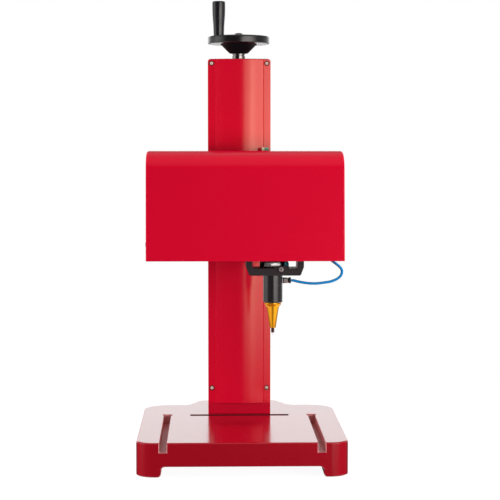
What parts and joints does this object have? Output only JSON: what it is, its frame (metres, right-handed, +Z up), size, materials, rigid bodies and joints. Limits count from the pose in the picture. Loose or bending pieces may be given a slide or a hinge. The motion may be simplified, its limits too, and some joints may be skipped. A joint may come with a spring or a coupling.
{
  "type": "nameplate marking machine",
  "caption": "Bench dot-marking machine: a cast grooved base, a column with a handwheel that lifts a covered head, and an air-driven stylus on a cross slide.",
  "frame": {"origin": "middle of the base's footprint, on the surface it stands on", "axes": "+Z up, +Y to the back of the machine, +X to the right of someone who stands in front of it"},
  "size_m": [0.3044, 0.39, 0.6987],
  "materials": {
    "red_paint_cast": "gloss red enamel over cast iron",
    "red_paint": "gloss red powder coat",
    "black_paint": "satin black paint",
    "black_plastic": "moulded satin black plastic",
    "black_anodised": "black anodised",
    "gold_anodised": "polished gold",
    "steel": "ground steel",
    "dark_steel": "blackened steel",
    "aluminium": "milled aluminium",
    "brass": "turned brass",
    "green_plastic": "moulded green plastic",
    "belt_rubber": "black toothed belt",
    "blue_tube": "blue polyurethane tube"
  },
  "bodies": {
    "stand": {"base_casting": "red_paint_cast", "column_foot": "red_paint_cast", "column_housing": "red_paint", "column_front_cover": "red_paint", "column_top_cap": "red_paint", "cover_screw_1": "dark_steel", "cover_screw_2": "dark_steel", "cover_screw_3": "dark_steel", "cover_screw_4": "dark_steel", "lift_rail_left": "steel", "lift_rail_right": "steel", "bottom_bearing": "steel", "top_bearing": "steel"},
    "screw": {"lead_screw": "steel", "handwheel": "black_plastic", "handwheel_nut": "steel", "handle_spindle": "steel"},
    "crank": {"crank_handle": "black_plastic"},
    "head": {"lift_plate": "black_paint", "nut_bracket": "aluminium", "lead_nut": "brass", "lift_block_left": "steel", "lift_block_right": "steel", "head_bracket_left": "black_paint", "head_bracket_right": "black_paint", "head_frame": "aluminium", "front_cross_plate": "aluminium", "head_cover": "red_paint", "head_cover_screw_1": "dark_steel", "head_cover_screw_2": "dark_steel", "head_cover_screw_3": "dark_steel", "head_cover_screw_4": "dark_steel", "y_rail_left": "steel", "y_rail_right": "steel", "y_motor": "black_paint", "y_belt": "belt_rubber", "signal_socket": "dark_steel", "air_inlet_fitting": "green_plastic"},
    "y_drive": {"y_pulley": "aluminium"},
    "y_return": {"y_idler": "aluminium"},
    "gantry": {"gantry_beam": "aluminium", "y_block_left": "steel", "y_block_right": "steel", "x_rail": "steel", "x_motor": "black_paint", "x_belt": "belt_rubber", "gantry_fitting": "black_plastic"},
    "x_drive": {"x_pulley": "aluminium"},
    "x_return": {"x_idler": "aluminium"},
    "carriage": {"x_block": "steel", "carriage_plate": "aluminium", "stylus_holder": "black_paint", "clamp_screw": "steel", "stylus_barrel": "black_anodised", "stylus_cap": "aluminium", "stylus_nozzle": "gold_anodised", "return_spring": "steel", "stylus_fitting": "black_plastic", "air_tube": "blue_tube"},
    "pin": {"marking_pin": "steel"}
  },
  "joints": [
    {"name": "head_lift", "type": "slide", "parent": "stand", "child": "head", "axis": [0, 0, 1], "range_m": [-0.13, 0.12]},
    {"name": "handwheel_turn", "type": "hinge", "parent": "stand", "child": "screw", "pos_m": [0, 0.105, 0.6], "axis": [0, 0, 1], "range_deg": [-8700, 9400]},
    {"name": "handle_spin", "type": "hinge", "parent": "screw", "child": "crank", "pos_m": [-0.0316, 0.085, 0.67], "axis": [0, 0, 1], "continuous": true},
    {"name": "gantry_y", "type": "slide", "parent": "head", "child": "gantry", "axis": [0, 1, 0], "range_m": [-0.05, 0.05]},
    {"name": "y_pulley_turn", "type": "hinge", "parent": "head", "child": "y_drive", "pos_m": [-0.125, -0.143, 0.393], "axis": [1, 0, 0], "range_deg": [-460, 460]},
    {"name": "y_idler_turn", "type": "hinge", "parent": "head", "child": "y_return", "pos_m": [-0.125, 0.022, 0.393], "axis": [1, 0, 0], "range_deg": [-460, 460]},
    {"name": "carriage_x", "type": "slide", "parent": "gantry", "child": "carriage", "axis": [1, 0, 0], "range_m": [-0.1175, 0.0325], "deforming": ["air_tube"]},
    {"name": "x_pulley_turn", "type": "hinge", "parent": "gantry", "child": "x_drive", "pos_m": [-0.092, -0.046, 0.393], "axis": [0, 0, 1], "range_deg": [-1060, 300]},
    {"name": "x_idler_turn", "type": "hinge", "parent": "gantry", "child": "x_return", "pos_m": [0.101, -0.046, 0.393], "axis": [0, 0, 1], "range_deg": [-1060, 300]},
    {"name": "pin_strike", "type": "slide", "parent": "carriage", "child": "pin", "axis": [0, 0, -1], "range_m": [0, 0.006], "stiffness_N_per_m": 300, "springref_m": -0.01, "deforming": ["return_spring"]}
  ],
  "couplings": [
    {"joint": "handwheel_turn", "follows": "head_lift", "rad_per_m": -1256.6},
    {"joint": "y_pulley_turn", "follows": "gantry_y", "rad_per_m": 156.25},
    {"joint": "y_idler_turn", "follows": "gantry_y", "rad_per_m": 156.25},
    {"joint": "x_pulley_turn", "follows": "carriage_x", "rad_per_m": 156.25},
    {"joint": "x_idler_turn", "follows": "carriage_x", "rad_per_m": 156.25}
  ]
}
